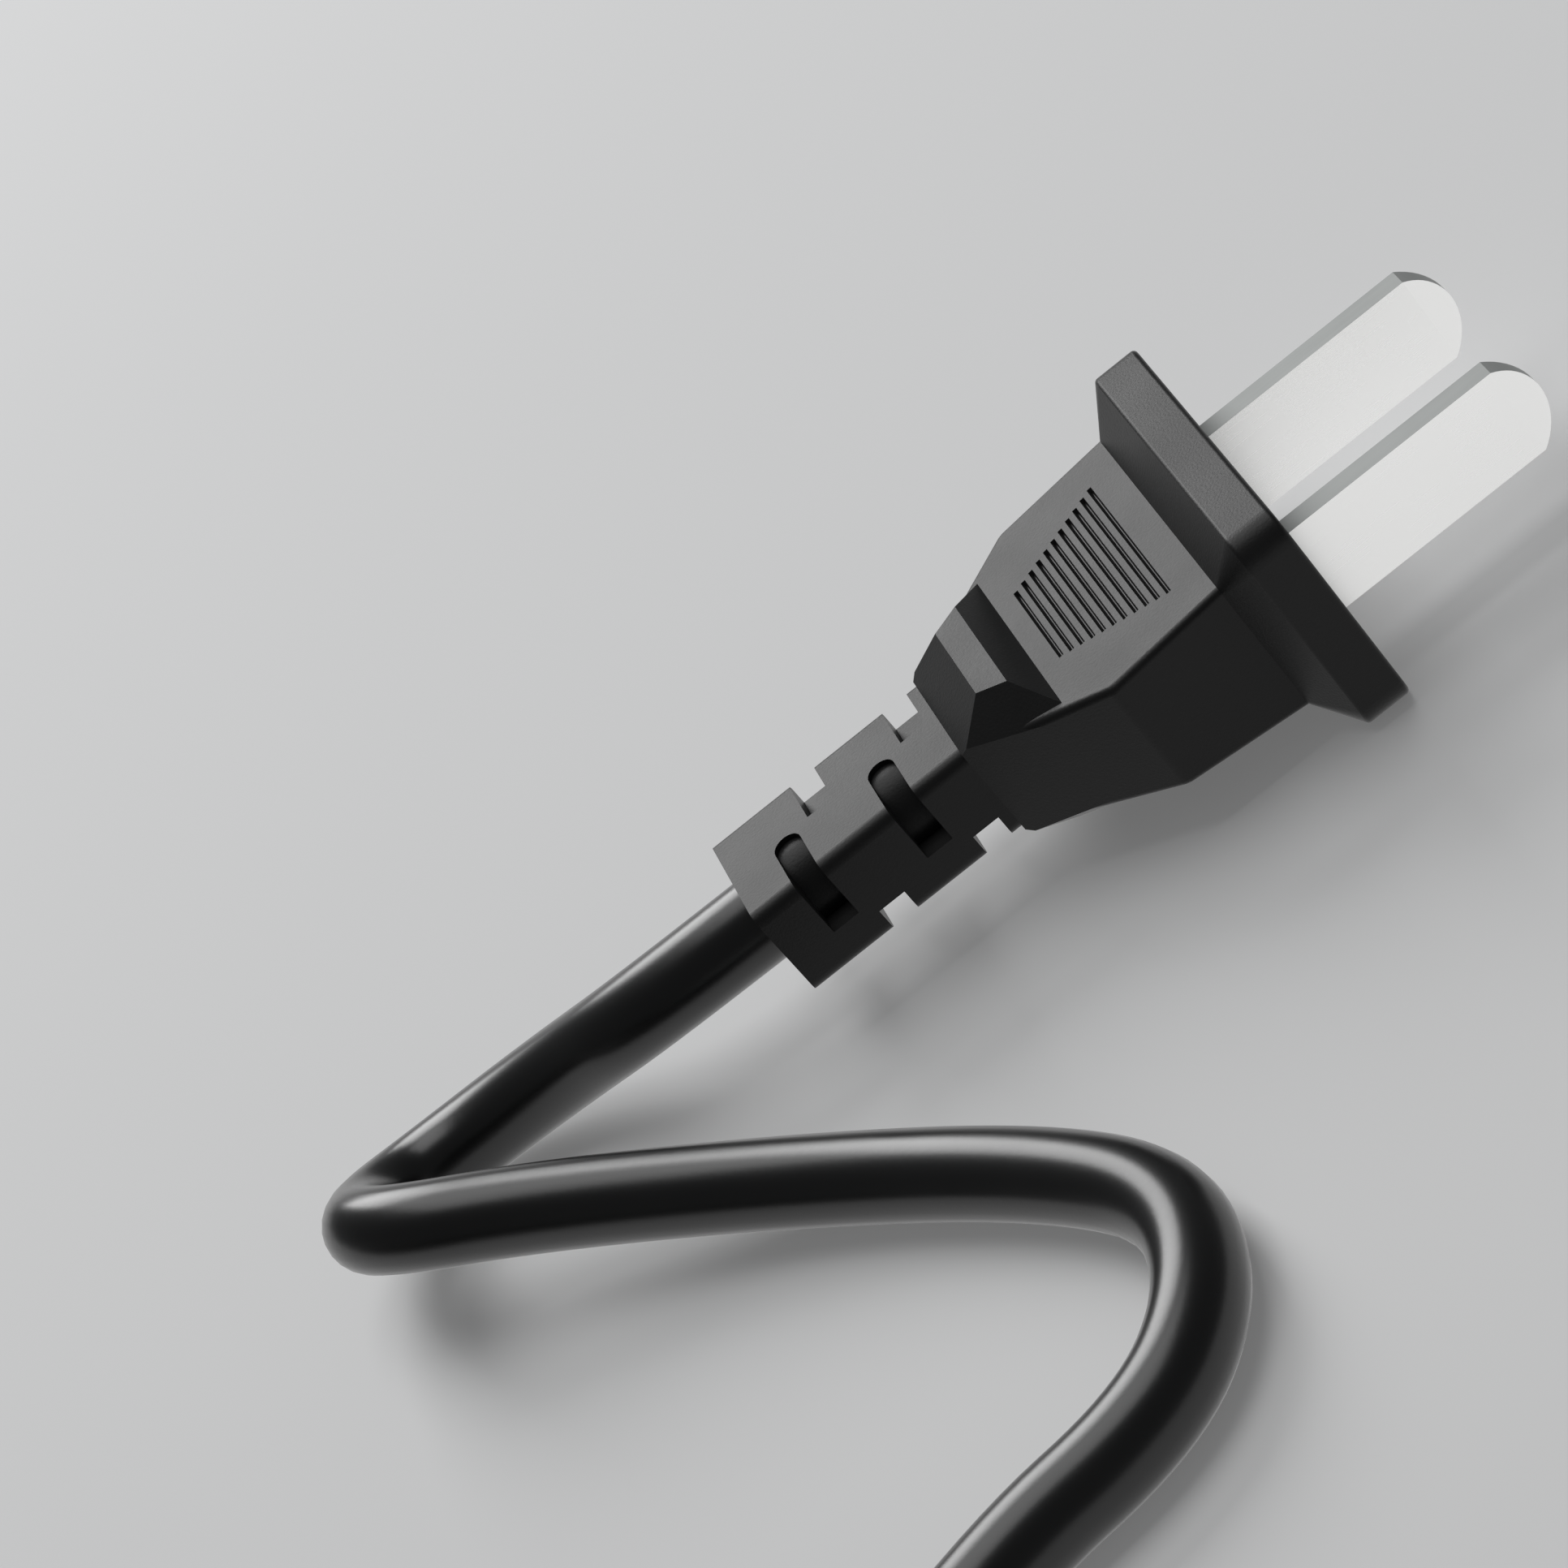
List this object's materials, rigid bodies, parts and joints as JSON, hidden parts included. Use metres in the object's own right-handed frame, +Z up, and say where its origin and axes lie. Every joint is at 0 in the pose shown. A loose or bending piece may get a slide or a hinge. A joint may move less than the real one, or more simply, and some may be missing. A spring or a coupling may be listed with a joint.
{
  "type": "power cord",
  "caption": "Black moulded power plug with flat metal blades, a ridged grip and a slotted strain relief, on a round cord that leads to a tied coil and a small appliance connector.",
  "frame": {"origin": "on the floor under the middle of the plug, halfway between its blade tips and the end of its strain relief", "axes": "+X along the plug towards the blade tips, +Y across it, +Z up from the floor it lies on"},
  "size_m": [0.1879, 0.0955, 0.0161],
  "materials": {
    "moulding": "satin moulded PVC",
    "insert": "moulded rigid plastic",
    "nickel": "bright nickel plate over brass",
    "copper": "bare stranded copper",
    "line_insulation": "smooth PVC",
    "neutral_insulation": "smooth PVC",
    "sheath": "smooth extruded PVC",
    "tie": "plain strap",
    "contact_brass": "stamped sheet brass"
  },
  "bodies": {
    "root": {"plug_body": "moulding", "pin_bridge": "insert", "line_blade": "nickel", "neutral_blade": "nickel", "plug_line_strands": "copper", "plug_neutral_strands": "copper", "plug_line_wire": "line_insulation", "plug_neutral_wire": "neutral_insulation", "cord": "sheath", "cord_coil": "sheath", "cord_tail": "sheath", "coil_tie": "tie", "connector_body": "moulding", "contact_carrier": "insert", "line_contact": "contact_brass", "neutral_contact": "contact_brass", "connector_line_strands": "copper", "connector_neutral_strands": "copper", "connector_line_wire": "line_insulation", "connector_neutral_wire": "neutral_insulation"}
  },
  "joints": []
}
